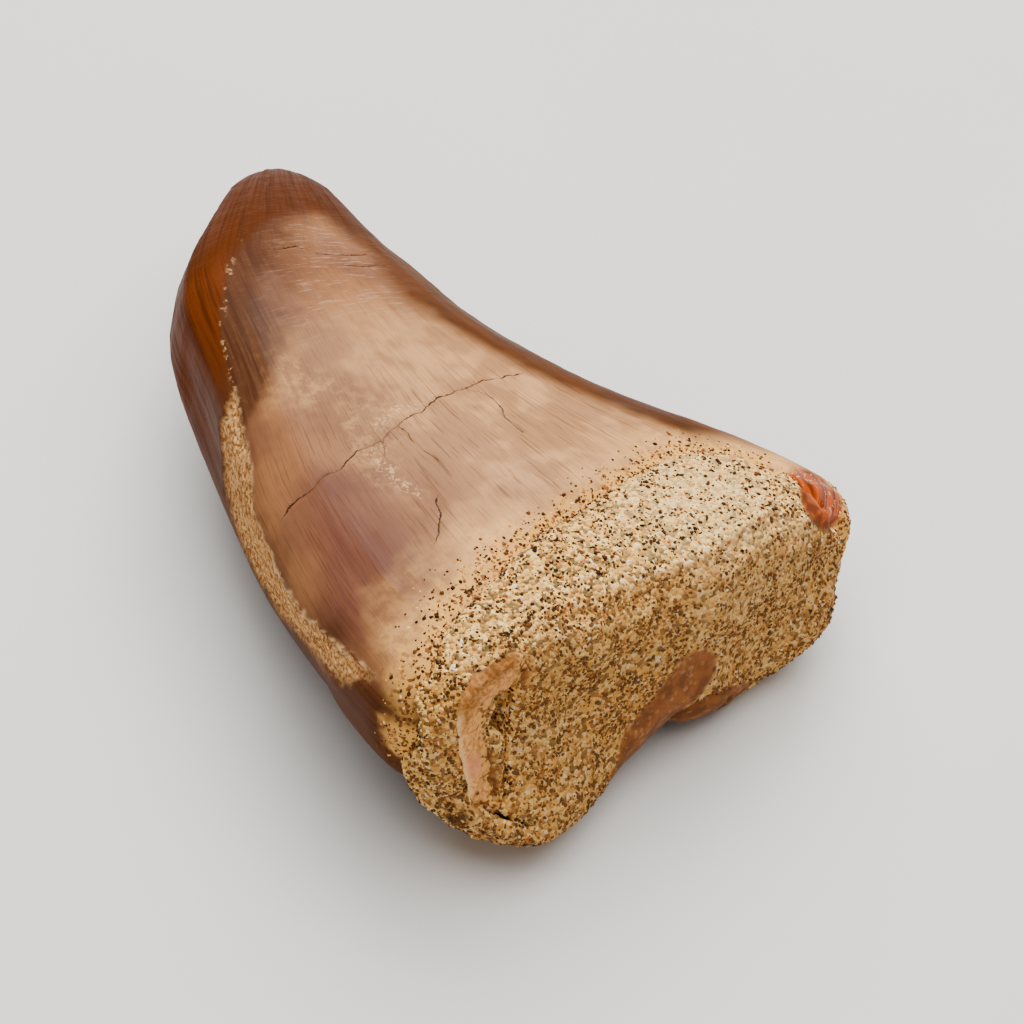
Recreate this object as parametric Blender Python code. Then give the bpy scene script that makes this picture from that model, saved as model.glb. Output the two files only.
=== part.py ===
"""A fossil mosasaur tooth: a curved crown, and the sandy matrix that fills and caps its base.

The crown lies on its full inner face, on a small worn flat. Its tip points along -X, its
broken base faces +X, its long convex edge lies towards -Y and its concave edge towards +Y.
Lengths are in metres and +Z is up. The origin is under the middle of the tooth.
"""

from collections import namedtuple
from math import atan2
from math import cos
from math import exp
from math import pi
from math import radians
from math import sin
from math import sqrt

import bmesh
import bpy
from mathutils import Vector
from mathutils import noise

MM = 0.001

# Sections across the crown, from the tip to the base. Each is a chord between the two
# cutting edges, with a low arch above it and a deep belly below it. In millimetres and
# degrees: place along X, middle of the chord, half the chord, roll, arch, belly.
Section = namedtuple("Section", "x mid_y mid_z half_chord roll arch belly")
SECTIONS = (
    Section(-26.0, 1.4, 6.2, 2.0, 40.0, 1.9, 2.4),
    Section(-20.0, -1.5, 9.0, 5.1, 34.0, 2.6, 4.4),
    Section(-13.0, -4.3, 10.6, 8.5, 28.0, 3.4, 7.0),
    Section(-5.0, -4.8, 10.5, 10.2, 22.0, 4.3, 9.2),
    Section(4.0, -4.3, 10.2, 13.2, 15.0, 5.0, 9.7),
    Section(13.0, -2.7, 10.1, 15.8, 10.0, 5.4, 9.6),
    Section(22.0, -1.1, 9.8, 17.1, 8.0, 5.4, 9.4),
)
TIP_X = SECTIONS[0].x
BASE_X = SECTIONS[-1].x
TIP_ROUND = 4.0

# How square the arch is, and the belly on its convex and its concave side; 2 is an ellipse.
ARCH_POWER = 2.15
CONVEX_POWER = 2.6
CONCAVE_POWER = 1.9

# The base is broken off aslant: past this line it falls back towards the tip.
SLANT = 0.34
SLANT_FROM_Y = 2.0
SLANT_FROM_X = 0.0

# The base stands out in two lobes, low on either side of the groove. For each: how far it
# stands out, its middle across Y and up Z, and its half-widths.
Lobe = namedtuple("Lobe", "out y z half_y half_z")
LOBES = (
    Lobe(5.2, -14.0, 1.2, 8.0, 6.0),
    Lobe(1.7, 11.5, 2.8, 5.0, 5.0),
)
LOBES_FROM_X = 10.0

# The fine ridge that runs along both cutting edges, and the band flaked off beside one.
RIDGE_HEIGHT = 0.35
RIDGE_HALF_ANGLE = 7.0
RIDGE_TURN_AT_TIP = 24.0
RIDGE_TURN_TO_X = -8.0
FLAKE_DEPTH = 0.5
FLAKE_FROM_X = -11.0
FLAKE_TO_X = 15.0
FLAKE_FADE_IN = 2.0
FLAKE_FADE_OUT = 4.0
FLAKE_ANGLE = 199.0
FLAKE_HALF_ANGLE = 14.0

# The groove under the base, which gives the broken face its two lobes.
GROOVE_DEPTH = 2.6
GROOVE_ANGLE = 277.0
GROOVE_HALF_ANGLE = 15.0
GROOVE_FROM_X = 10.0

# The hollow in the base of the crown, which the matrix fills.
WALL = 2.2
HOLLOW_DEPTH = 8.0
CROWN_END_X = 21.5
WALL_END_STEP = 0.5

# The crust of matrix over the base: where it starts along X, for places across Y. Past some
# degrees round from the top it starts further back, and over the ramp it rises from its bed
# in the crown.
CRUST_EDGE = (
    (-18.5, 19.8),
    (-15.0, 17.6),
    (-10.0, 15.5),
    (-3.0, 13.2),
    (5.0, 11.0),
    (8.5, 11.4),
    (11.0, 14.0),
    (13.0, 17.0),
    (17.0, 18.0),
)
TOP_ANGLE = 90.0
UNDER_CRUST_X = 17.8
UNDER_CRUST_FROM = 75.0
UNDER_CRUST_BLEND = 25.0
CRUST_RAMP = 2.2
CRUST_BED = 1.0
CRUST_SUNK = 1.3
RIM_ROUND = 3.5
FIT_GAP = 0.3

# Before the crown is cut out of it, the matrix starts with a rounded nose this far past the
# end of the hollow.
CORE_LEAD = 3.0
CORE_NOSE = 2.0

# Low lumps all over the matrix.
LUMP_HEIGHT = 0.45
LUMP_LENGTH = 4.2

# The worn flat that the tooth lies on, as a height above the sections' own zero.
FLAT_HEIGHT = 0.6

CROWN_SEGMENTS = 64
NOSE_RINGS = 6
BODY_RINGS = 30
RIM_RINGS = 2
HOLLOW_RINGS = 6
MATRIX_SEGMENTS = 48
CORE_RINGS = 4
SIDE_RINGS = 9
EDGE_RINGS = 3
FACE_RINGS = 7
BREAK_SEGMENTS = 16
BREAK_RINGS = 10

# Breaks in the crust: middle, half-sizes along its own X, Y and Z, and its turn about X.
Break = namedtuple("Break", "name middle half_size turn")
BREAKS = (
    Break("wall_end_break", (23.2, -12.7, 10.8), (2.6, 1.2, 5.4), -17.0),
    Break("corner_break", (19.0, 13.6, 10.4), (2.2, 2.0, 2.0), 0.0),
    Break("groove_break", (23.4, 1.2, 2.8), (2.8, 4.0, 3.0), 14.0),
    Break("corner_pit", (24.9, -15.8, 3.2), (1.3, 0.8, 0.7), 0.0),
)


def clear_scene():
    """Remove every object that the file opened with."""
    for item in list(bpy.data.objects):
        bpy.data.objects.remove(item, do_unlink=True)


def smooth_step(amount):
    """Rise smoothly from 0 to 1 as the amount does."""
    amount = min(max(amount, 0.0), 1.0)
    return amount * amount * (3.0 - 2.0 * amount)


def bell(distance, half_width):
    """1 in the middle, falling off smoothly over the half width."""
    return exp(-((distance / half_width) ** 2))


def through(place, places, values):
    """Value at a place on the smooth curve through the given places and values."""
    place = min(max(place, places[0]), places[-1])
    last = len(places) - 1
    index = 0
    while index < last - 1 and place > places[index + 1]:
        index += 1
    span = places[index + 1] - places[index]
    part = (place - places[index]) / span

    def slope(at):
        low = max(at - 1, 0)
        high = min(at + 1, last)
        return (values[high] - values[low]) / (places[high] - places[low])

    rise = values[index + 1] - values[index]
    start = slope(index) * span
    end = slope(index + 1) * span
    square = part * part
    cube = square * part
    return (
        values[index]
        + start * part
        + (3.0 * rise - 2.0 * start - end) * square
        + (start + end - 2.0 * rise) * cube
    )


def section_at(x):
    """The crown's section at a place along X."""
    places = [section.x for section in SECTIONS]
    values = [x]
    for field in Section._fields[1:]:
        values.append(through(x, places, [getattr(section, field) for section in SECTIONS]))
    return Section(*values)


def angle_apart(one, other):
    """Degrees between two angles, the short way round."""
    return abs((one - other + 180.0) % 360.0 - 180.0)


def relief(x, angle):
    """Height of the ridges, the flaked band and the groove on the crown's side."""
    body = smooth_step((x - TIP_X) / TIP_ROUND)
    tipward = 1.0 - smooth_step((x - TIP_X) / (RIDGE_TURN_TO_X - TIP_X))
    ridge = bell(angle_apart(angle, 180.0 - RIDGE_TURN_AT_TIP * tipward), RIDGE_HALF_ANGLE)
    ridge += bell(angle_apart(angle, 0.0), RIDGE_HALF_ANGLE)
    flake = bell(angle_apart(angle, FLAKE_ANGLE), FLAKE_HALF_ANGLE)
    flake *= smooth_step((x - FLAKE_FROM_X) / FLAKE_FADE_IN)
    flake *= smooth_step((FLAKE_TO_X - x) / FLAKE_FADE_OUT)
    groove = bell(angle_apart(angle, GROOVE_ANGLE), GROOVE_HALF_ANGLE)
    groove *= smooth_step((x - GROOVE_FROM_X) / (BASE_X - GROOVE_FROM_X))
    return RIDGE_HEIGHT * ridge * body - FLAKE_DEPTH * flake - GROOVE_DEPTH * groove


def rim_inset(x):
    """How far the rounded rim of the base draws the side in at a place along X."""
    rim = max(x - BASE_X + RIM_ROUND, 0.0) / RIM_ROUND
    return RIM_ROUND * (1.0 - sqrt(max(1.0 - rim * rim, 0.0)))


def side_point(x, angle, grow=0.0, scale=1.0):
    """A point on the tooth's side, in millimetres.

    The angle goes round from the concave edge over the arch. The point stands out from the
    side by grow, and scale draws the whole section in towards its middle.
    """
    section = section_at(x)
    turn = radians(angle)
    upper = sin(turn) >= 0.0
    belly_power = CONVEX_POWER if cos(turn) < 0.0 else CONCAVE_POWER
    power = 2.0 / (ARCH_POWER if upper else belly_power)
    across = abs(cos(turn)) ** power * (1.0 if cos(turn) >= 0.0 else -1.0)
    upward = abs(sin(turn)) ** power * (1.0 if upper else -1.0)
    nose = min(max((x - TIP_X) / TIP_ROUND, 0.0), 1.0)
    nose = sqrt(max(1.0 - (1.0 - nose) ** 2, 0.0))
    chord = nose * section.half_chord * across
    height = nose * (section.arch if upper else section.belly) * upward
    reach = sqrt(chord * chord + height * height)
    if reach > 0.0:
        stretch = (reach + (relief(x, angle) + grow) * nose - rim_inset(x)) / reach * scale
        chord *= stretch
        height *= stretch
    roll = radians(section.roll)
    y = section.mid_y + chord * cos(roll) + height * sin(roll)
    z = section.mid_z - chord * sin(roll) + height * cos(roll)
    slant = SLANT * max(y - SLANT_FROM_Y, 0.0)
    slant *= smooth_step((x - SLANT_FROM_X) / (BASE_X - SLANT_FROM_X))
    basal = smooth_step((x - LOBES_FROM_X) / (BASE_X - LOBES_FROM_X))
    out = 0.0
    for lobe in LOBES:
        out += lobe.out * bell(y - lobe.y, lobe.half_y) * bell(z - lobe.z, lobe.half_z)
    return Vector((x - slant + out * basal, y, z))


def crust_cover(x, angle):
    """How far the crust covers the crown's side here: 0 is bare, 1 is covered."""
    place = side_point(x, angle)
    starts = through(place.y, [edge[0] for edge in CRUST_EDGE], [edge[1] for edge in CRUST_EDGE])
    under = smooth_step((angle_apart(angle, TOP_ANGLE) - UNDER_CRUST_FROM) / UNDER_CRUST_BLEND)
    starts += (max(UNDER_CRUST_X, starts) - starts) * under
    return smooth_step((place.x - starts) / CRUST_RAMP)


def face_lump(y, z):
    """How far the broken face stands out along X at a place on it."""
    return LUMP_HEIGHT * noise.noise(Vector((y, z, 0.0)) / LUMP_LENGTH)


def mould_sphere(name, segments, rings, place_vertex):
    """A closed mesh: a sphere whose vertices are moved by ring number and angle."""
    form = bmesh.new()
    bmesh.ops.create_uvsphere(form, u_segments=segments, v_segments=rings, radius=1.0)
    for vertex in form.verts:
        across = sqrt(vertex.co.x ** 2 + vertex.co.y ** 2)
        ring = round(atan2(across, vertex.co.z) / pi * rings)
        angle = atan2(vertex.co.y, vertex.co.x) * 180.0 / pi % 360.0
        vertex.co = place_vertex(ring, angle) * MM
    bmesh.ops.recalc_face_normals(form, faces=form.faces)
    mesh = bpy.data.meshes.new(name)
    form.to_mesh(mesh)
    form.free()
    return bpy.data.objects.new(name, mesh)


def crown_form(name, grow):
    """The crown with its hollow base; grow makes it stouter all over, walls included."""
    nose_end = TIP_X + TIP_ROUND
    body_from = NOSE_RINGS
    body_to = body_from + BODY_RINGS
    rim_to = body_to + RIM_RINGS
    rings = rim_to + HOLLOW_RINGS
    wall = WALL + 2.0 * grow

    def place(ring, angle):
        if ring <= body_from:
            part = ring / body_from
            x = TIP_X + TIP_ROUND * (1.0 - cos(part * pi / 2.0))
            return side_point(x, angle, grow) - Vector((grow * (1.0 - part), 0.0, 0.0))
        if ring < body_to:
            x = nose_end + (CROWN_END_X - nose_end) * (ring - body_from) / BODY_RINGS
            return side_point(x, angle, grow - CRUST_BED * crust_cover(x, angle))
        outer = grow - CRUST_BED * crust_cover(CROWN_END_X, angle)
        if ring <= rim_to:
            part = (ring - body_to) / RIM_RINGS
            step = WALL_END_STEP * sin(part * pi)
            point = side_point(CROWN_END_X, angle, outer - wall * part)
            return point + Vector((grow - step, 0.0, 0.0))
        part = (ring - rim_to) / HOLLOW_RINGS
        x = CROWN_END_X - HOLLOW_DEPTH * sin(part * pi / 2.0)
        inner = outer - wall - (rim_inset(CROWN_END_X) - rim_inset(x))
        point = side_point(x, angle, inner, cos(part * pi / 2.0))
        return point + Vector((grow, 0.0, 0.0))

    return mould_sphere(name, CROWN_SEGMENTS, rings, place)


def matrix_form(name):
    """The body of matrix before the crown is taken out of it."""
    core_x = CROWN_END_X - HOLLOW_DEPTH - CORE_LEAD
    side_x = core_x + CORE_NOSE
    edge_x = BASE_X - RIM_ROUND
    side_from = CORE_RINGS
    side_to = side_from + SIDE_RINGS
    edge_to = side_to + EDGE_RINGS
    rings = edge_to + FACE_RINGS

    def outward(x, angle):
        cover = crust_cover(x, angle)
        spot = side_point(x, angle)
        lump = LUMP_HEIGHT * (0.5 + noise.noise(spot / LUMP_LENGTH))
        return -CRUST_SUNK + (CRUST_SUNK + lump) * cover

    def place(ring, angle):
        if ring <= side_from:
            part = ring / side_from
            x = core_x + (side_x - core_x) * (1.0 - cos(part * pi / 2.0))
            return side_point(x, angle, outward(x, angle), sin(part * pi / 2.0))
        if ring <= side_to:
            x = side_x + (edge_x - side_x) * (ring - side_from) / SIDE_RINGS
            return side_point(x, angle, outward(x, angle))
        if ring <= edge_to:
            turn = (ring - side_to) / EDGE_RINGS * pi / 2.0
            x = edge_x + RIM_ROUND * sin(turn)
            point = side_point(x, angle, outward(x, angle))
            return point + Vector((face_lump(point.y, point.z) * sin(turn), 0.0, 0.0))
        part = (ring - edge_to) / FACE_RINGS
        point = side_point(BASE_X, angle, outward(BASE_X, angle), 1.0 - part)
        return point + Vector((face_lump(point.y, point.z), 0.0, 0.0))

    return mould_sphere(name, MATRIX_SEGMENTS, rings, place)


def break_form(spec):
    """An egg-shaped cutter for one break in the crust."""
    form = bmesh.new()
    bmesh.ops.create_uvsphere(
        form, u_segments=BREAK_SEGMENTS, v_segments=BREAK_RINGS, radius=1.0
    )
    bmesh.ops.scale(form, vec=Vector(spec.half_size) * MM, verts=form.verts)
    mesh = bpy.data.meshes.new(spec.name)
    form.to_mesh(mesh)
    form.free()
    cutter = bpy.data.objects.new(spec.name, mesh)
    cutter.location = Vector(spec.middle) * MM
    cutter.rotation_euler = (radians(spec.turn), 0.0, 0.0)
    return cutter


def cut_out(target, cutters):
    """Take the shapes of a whole collection out of the target in one cut."""
    difference = target.modifiers.new(cutters.name, "BOOLEAN")
    difference.operation = "DIFFERENCE"
    difference.solver = "EXACT"
    difference.operand_type = "COLLECTION"
    difference.collection = cutters


def wear_flat(target):
    """Cut the belly off level, which leaves the small flat that the tooth rests on."""
    form = bmesh.new()
    form.from_mesh(target.data)
    everything = list(form.verts) + list(form.edges) + list(form.faces)
    worn = bmesh.ops.bisect_plane(
        form,
        geom=everything,
        plane_co=(0.0, 0.0, FLAT_HEIGHT * MM),
        plane_no=(0.0, 0.0, -1.0),
        clear_outer=True,
    )
    rim = [piece for piece in worn["geom_cut"] if isinstance(piece, bmesh.types.BMEdge)]
    bmesh.ops.contextual_create(form, geom=rim)
    bmesh.ops.recalc_face_normals(form, faces=form.faces)
    form.to_mesh(target.data)
    form.free()


def dress(target, colour, roughness):
    """Give an object its own plain material, and smooth shading off its sharp breaks."""
    material = bpy.data.materials.new(target.name + "_finish")
    material.use_nodes = True
    shader = material.node_tree.nodes["Principled BSDF"]
    shader.inputs["Base Color"].default_value = colour
    shader.inputs["Roughness"].default_value = roughness
    shader.inputs["Metallic"].default_value = 0.0
    target.data.materials.append(material)
    target.data.shade_smooth()
    target.data.set_sharp_from_angle(angle=radians(40.0))


def new_collection(name):
    """A collection in the scene."""
    collection = bpy.data.collections.new(name)
    bpy.context.scene.collection.children.link(collection)
    return collection


def set_down(holder, solids):
    """Move the holder so that the origin comes under the middle of the solids it carries."""
    bpy.context.view_layer.update()
    graph = bpy.context.evaluated_depsgraph_get()
    corners = []
    for solid in solids:
        corners += [solid.matrix_world @ Vector(corner) for corner in solid.evaluated_get(graph).bound_box]
    lowest = Vector([min(corner[axis] for corner in corners) for axis in range(3)])
    highest = Vector([max(corner[axis] for corner in corners) for axis in range(3)])
    middle = (lowest + highest) / 2.0
    holder.location = (-middle.x, -middle.y, -lowest.z)


def main():
    """Model the tooth."""
    clear_scene()
    parts = new_collection("mosasaur_tooth")
    cutters = new_collection("cutters")
    holder = bpy.data.objects.new("tooth_holder", None)
    parts.objects.link(holder)

    crown = crown_form("tooth_crown", 0.0)
    wear_flat(crown)
    dress(crown, (0.42, 0.22, 0.13, 1.0), 0.35)
    parts.objects.link(crown)

    matrix = matrix_form("sandy_matrix")
    dress(matrix, (0.50, 0.33, 0.15, 1.0), 0.9)
    parts.objects.link(matrix)

    socket = crown_form("crown_socket", FIT_GAP)
    takers = [socket] + [break_form(spec) for spec in BREAKS]
    for cutter in takers:
        cutter.hide_render = True
        cutter.display_type = "WIRE"
        cutters.objects.link(cutter)
    cut_out(matrix, cutters)

    for piece in [crown, matrix] + takers:
        piece.parent = holder
    set_down(holder, [crown, matrix])


main()
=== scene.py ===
"""The looks of a fossil mosasaur tooth: a glossy enamel crown with a sandy matrix in its base.

Lengths are written in millimetres and turned into metres where a mesh is made. The tip points
along -X, the broken base faces +X, the long convex edge lies towards -Y and the concave edge
towards +Y. The tooth lies on the floor at z = 0.
"""

import logging
from dataclasses import dataclass
from enum import Enum
from math import radians

import bmesh
import bpy
import numpy as np
from mathutils import Matrix
from mathutils import Vector
from mathutils import noise
from mathutils.bvhtree import BVHTree


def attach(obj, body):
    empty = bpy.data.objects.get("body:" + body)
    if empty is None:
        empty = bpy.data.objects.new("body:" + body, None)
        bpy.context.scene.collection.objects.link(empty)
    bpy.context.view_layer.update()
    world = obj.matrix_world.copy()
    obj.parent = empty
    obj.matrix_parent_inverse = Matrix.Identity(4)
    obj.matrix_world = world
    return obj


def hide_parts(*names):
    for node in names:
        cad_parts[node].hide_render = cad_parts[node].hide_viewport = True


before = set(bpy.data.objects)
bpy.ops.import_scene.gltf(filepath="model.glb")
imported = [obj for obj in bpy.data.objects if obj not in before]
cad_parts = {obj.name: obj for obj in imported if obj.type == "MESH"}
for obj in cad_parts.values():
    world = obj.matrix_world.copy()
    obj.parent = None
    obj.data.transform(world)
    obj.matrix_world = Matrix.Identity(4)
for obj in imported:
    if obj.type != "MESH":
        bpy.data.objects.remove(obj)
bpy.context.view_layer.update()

LOG = logging.getLogger("mosasaur_tooth")
MM = 0.001
BODY = "root"

Colour = tuple[float, float, float, float]
Spot = tuple[float, float, float]
Line = tuple[Spot, ...]
Socket = bpy.types.NodeSocket
Value = Socket | float | Colour


class Solid(Enum):
    """The solids that the fine pieces stand for."""

    CROWN = "tooth_crown"
    MATRIX = "sandy_matrix"


class GrainKind(Enum):
    """The two sorts of separate grains."""

    PALE = "pale_grains"
    DARK = "dark_grains"


def paint(red: int, green: int, blue: int) -> Colour:
    """Turn a colour from a painter's chart, 0 to 255, into linear light.

    Args:
        red: The red share.
        green: The green share.
        blue: The blue share.

    Returns:
        The linear colour with an alpha of 1.
    """
    shares = []
    for value in (red, green, blue):
        part = value / 255.0
        shares.append(part / 12.92 if part <= 0.04045 else ((part + 0.055) / 1.055) ** 2.4)
    return (shares[0], shares[1], shares[2], 1.0)


def ease(amount: np.ndarray) -> np.ndarray:
    """Rise smoothly from 0 to 1 as each amount does."""
    amount = np.clip(amount, 0.0, 1.0)
    return amount * amount * (3.0 - 2.0 * amount)


def bell(distance: np.ndarray, half_width: float) -> np.ndarray:
    """Give 1 in the middle, falling off smoothly over the half width."""
    return np.exp(-((distance / half_width) ** 2))


def ripple(points: np.ndarray, length: float, octaves: int = 1) -> np.ndarray:
    """Read smooth noise at many points.

    Args:
        points: One point a row, in millimetres.
        length: The size of the noise's lumps, in millimetres.
        octaves: How many finer layers are added up.

    Returns:
        One value a point, from about -1 to 1.
    """
    spots = (points / length).tolist()
    if octaves == 1:
        return np.array([noise.noise(spot) for spot in spots])
    return np.array([noise.fractal(spot, 1.0, 2.0, octaves) for spot in spots])


def cells(points: np.ndarray, length: float) -> np.ndarray:
    """Distance from each point to the middle of its own cell, in shares of the cell's size."""
    return np.array([noise.voronoi(spot)[0][0] for spot in (points / length).tolist()])


def off_line(points: np.ndarray, line: Line) -> np.ndarray:
    """Measure how far points are from a line of straight runs.

    Args:
        points: One point a row, in millimetres.
        line: The line's points, in millimetres.

    Returns:
        One distance a point, in millimetres.
    """
    nearest = np.full(len(points), np.inf)
    for start, end in zip(line, line[1:]):
        first = np.array(start)
        run = np.array(end) - first
        share = np.clip(((points - first) @ run) / (run @ run), 0.0, 1.0)
        gap = np.linalg.norm(points - first - share[:, None] * run, axis=1)
        nearest = np.minimum(nearest, gap)
    return nearest


def off_spot(points: np.ndarray, spot: Spot) -> np.ndarray:
    """Distance of each point from one spot, in millimetres."""
    return np.linalg.norm(points - np.array(spot), axis=1)


class MeshWork:
    """Hand work on meshes: fine copies, local refinement, relief and painted values."""

    @staticmethod
    def alone(piece: bpy.types.Object) -> None:
        """Select one object and make it the active one."""
        bpy.ops.object.select_all(action="DESELECT")
        piece.select_set(True)
        bpy.context.view_layer.objects.active = piece

    @classmethod
    def fine_copy(
        cls,
        solid: Solid,
        name: str,
        voxel: float,
        smoothing: int,
        plugs: tuple[tuple[Spot, Spot], ...] = (),
    ) -> bpy.types.Object:
        """Copy a solid, close its loose triangles and give it a fine even surface.

        Args:
            solid: The solid to copy.
            name: The new piece's name.
            voxel: The new surface's spacing, in millimetres.
            smoothing: How many times the surface is relaxed.
            plugs: The middle and the half lengths of each lump that is melted into it.

        Returns:
            The new piece, with its place in its mesh.
        """
        piece = bpy.data.objects.new(name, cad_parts[solid.value].data.copy())
        piece.data.name = name
        piece.data.materials.clear()
        bpy.context.scene.collection.objects.link(piece)
        cls.alone(piece)
        bpy.ops.object.mode_set(mode="EDIT")
        bpy.ops.mesh.select_all(action="SELECT")
        bpy.ops.mesh.remove_doubles(threshold=0.001 * MM)
        for middle, half_lengths in plugs:
            bpy.ops.mesh.primitive_uv_sphere_add(
                segments=24,
                ring_count=16,
                radius=MM,
                location=Vector(middle) * MM,
                scale=half_lengths,
            )
        bpy.ops.object.mode_set(mode="OBJECT")
        piece.data.remesh_voxel_size = voxel * MM
        piece.data.remesh_voxel_adaptivity = 0.0
        bpy.ops.object.voxel_remesh()
        cls.relax(piece, smoothing)
        return piece

    @classmethod
    def relax(cls, piece: bpy.types.Object, times: int) -> None:
        """Even out a piece's surface a number of times."""
        cls.alone(piece)
        smoother = piece.modifiers.new("relax", "SMOOTH")
        smoother.factor = 0.5
        smoother.iterations = times
        bpy.ops.object.modifier_apply(modifier=smoother.name)

    @classmethod
    def refine(cls, piece: bpy.types.Object, chosen: np.ndarray, cuts: int = 1) -> None:
        """Cut the chosen part of a surface into finer faces.

        Args:
            piece: The piece to refine.
            chosen: One truth value a vertex.
            cuts: How many cuts each edge gets.
        """
        cls.alone(piece)
        bpy.context.tool_settings.mesh_select_mode = (True, False, False)
        bpy.ops.object.mode_set(mode="EDIT")
        bpy.ops.mesh.select_all(action="DESELECT")
        bpy.ops.object.mode_set(mode="OBJECT")
        piece.data.vertices.foreach_set("select", chosen)
        bpy.ops.object.mode_set(mode="EDIT")
        bpy.ops.mesh.subdivide(number_cuts=cuts)
        bpy.ops.object.mode_set(mode="OBJECT")

    @staticmethod
    def points(piece: bpy.types.Object) -> np.ndarray:
        """Read a piece's vertices, in millimetres."""
        flat = np.empty(len(piece.data.vertices) * 3, np.float32)
        piece.data.vertices.foreach_get("co", flat)
        return flat.reshape(-1, 3).astype(float) / MM

    @staticmethod
    def normals(piece: bpy.types.Object) -> np.ndarray:
        """Read the outward direction at each of a piece's vertices."""
        flat = np.empty(len(piece.data.vertices) * 3, np.float32)
        piece.data.vertex_normals.foreach_get("vector", flat)
        return flat.reshape(-1, 3).astype(float)

    @staticmethod
    def put(piece: bpy.types.Object, points: np.ndarray) -> None:
        """Move a piece's vertices to the given points, in millimetres."""
        piece.data.vertices.foreach_set("co", (points * MM).astype(np.float32).ravel())
        piece.data.update()

    @staticmethod
    def keep(piece: bpy.types.Object, name: str, values: np.ndarray) -> None:
        """Store one value or one direction a vertex under a name that a material reads."""
        kind = "FLOAT" if values.ndim == 1 else "FLOAT_VECTOR"
        field = "value" if values.ndim == 1 else "vector"
        layer = piece.data.attributes.new(name, kind, "POINT")
        layer.data.foreach_set(field, values.astype(np.float32).ravel())

    @staticmethod
    def tree(piece: bpy.types.Object) -> BVHTree:
        """Make a search tree of a piece's faces."""
        form = bmesh.new()
        form.from_mesh(piece.data)
        found = BVHTree.FromBMesh(form)
        form.free()
        return found

    @classmethod
    def laid_on(cls, piece: bpy.types.Object, line: Line, step: float = 0.3) -> Line:
        """Lay a line closely on a piece's surface.

        Args:
            piece: The piece to lay it on.
            line: The line's points, in millimetres.
            step: How far apart the laid points are, in millimetres.

        Returns:
            The laid line, with as many points as its length needs.
        """
        tree = cls.tree(piece)
        laid = []
        for start, end in zip(line, line[1:]):
            first = Vector(start)
            run = Vector(end) - first
            count = max(2, round(run.length / step))
            for index in range(count):
                spot = (first + run * (index / count)) * MM
                laid.append(tuple(tree.find_nearest(spot)[0] / MM))
        return tuple(laid)

    @classmethod
    def triangles(cls, piece: bpy.types.Object) -> np.ndarray:
        """Read the corners of a piece's triangles, in millimetres."""
        piece.data.calc_loop_triangles()
        flat = np.empty(len(piece.data.loop_triangles) * 3, np.int32)
        piece.data.loop_triangles.foreach_get("vertices", flat)
        return cls.points(piece)[flat.reshape(-1, 3)]


@dataclass(frozen=True)
class CrownGuide:
    """The crown's own directions, round it and along it, read off its cross-sections.

    Each station has its place along X, the middle of its chord across Y and up Z, half the
    chord, its roll in degrees, the arch above the chord and the belly below it.
    """

    stations: tuple[tuple[float, ...], ...] = (
        (-25.7, 3.1, 5.6, 2.0, 40.0, 1.9, 2.4),
        (-19.7, 0.2, 8.4, 5.1, 34.0, 2.6, 4.4),
        (-12.7, -2.6, 10.0, 8.5, 28.0, 3.4, 7.0),
        (-4.7, -3.1, 9.9, 10.2, 22.0, 4.3, 9.2),
        (4.3, -2.6, 9.6, 13.2, 15.0, 5.0, 9.7),
        (13.3, -1.0, 9.5, 15.8, 10.0, 5.4, 9.6),
        (22.3, 0.6, 9.2, 17.1, 8.0, 5.4, 9.4),
    )
    girth: float = 12.0

    def turn(self, points: np.ndarray) -> np.ndarray:
        """Degrees round the crown, from its concave edge at 0 over the top to its convex edge."""
        table = np.array(self.stations).T
        read = [np.interp(points[:, 0], table[0], row) for row in table[1:]]
        mid_y, mid_z, half_chord, roll, arch, belly = read
        across = points[:, 1] - mid_y
        upward = points[:, 2] - mid_z
        roll = np.radians(roll)
        chord = across * np.cos(roll) - upward * np.sin(roll)
        height = across * np.sin(roll) + upward * np.cos(roll)
        height = height / np.where(height > 0.0, arch, belly)
        return np.degrees(np.arctan2(height, chord / half_chord)) % 360.0

    def gap(self, points: np.ndarray, line: Line) -> np.ndarray:
        """Degrees round the crown from a line that runs along it, from -180 to 180."""
        spots = np.array(line)
        edge = np.interp(points[:, 0], spots[:, 0], self.turn(spots))
        return (self.turn(points) - edge + 180.0) % 360.0 - 180.0

    def past(self, points: np.ndarray, line: Line) -> np.ndarray:
        """How far round the crown each point lies past a line along it, in millimetres.

        Args:
            points: One point a row, in millimetres.
            line: The line, from the tip towards the base.

        Returns:
            One distance a point, above 0 towards the convex edge and the belly.
        """
        table = np.array(self.stations).T
        half_chord = np.interp(points[:, 0], table[0], table[3])
        depth = np.interp(points[:, 0], table[0], (table[5] + table[6]) / 2.0)
        turn = np.radians(self.turn(points))
        reach = np.hypot(half_chord * np.sin(turn), depth * np.cos(turn))
        return np.radians(self.gap(points, line)) * reach

    def way(self, points: np.ndarray) -> np.ndarray:
        """Directions for streaks: round the crown on a drum of one girth, and along it."""
        turn = np.radians(self.turn(points))
        round_y = self.girth * np.cos(turn)
        round_z = self.girth * np.sin(turn)
        return np.stack([round_y, round_z, points[:, 0]], axis=1)


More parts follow.
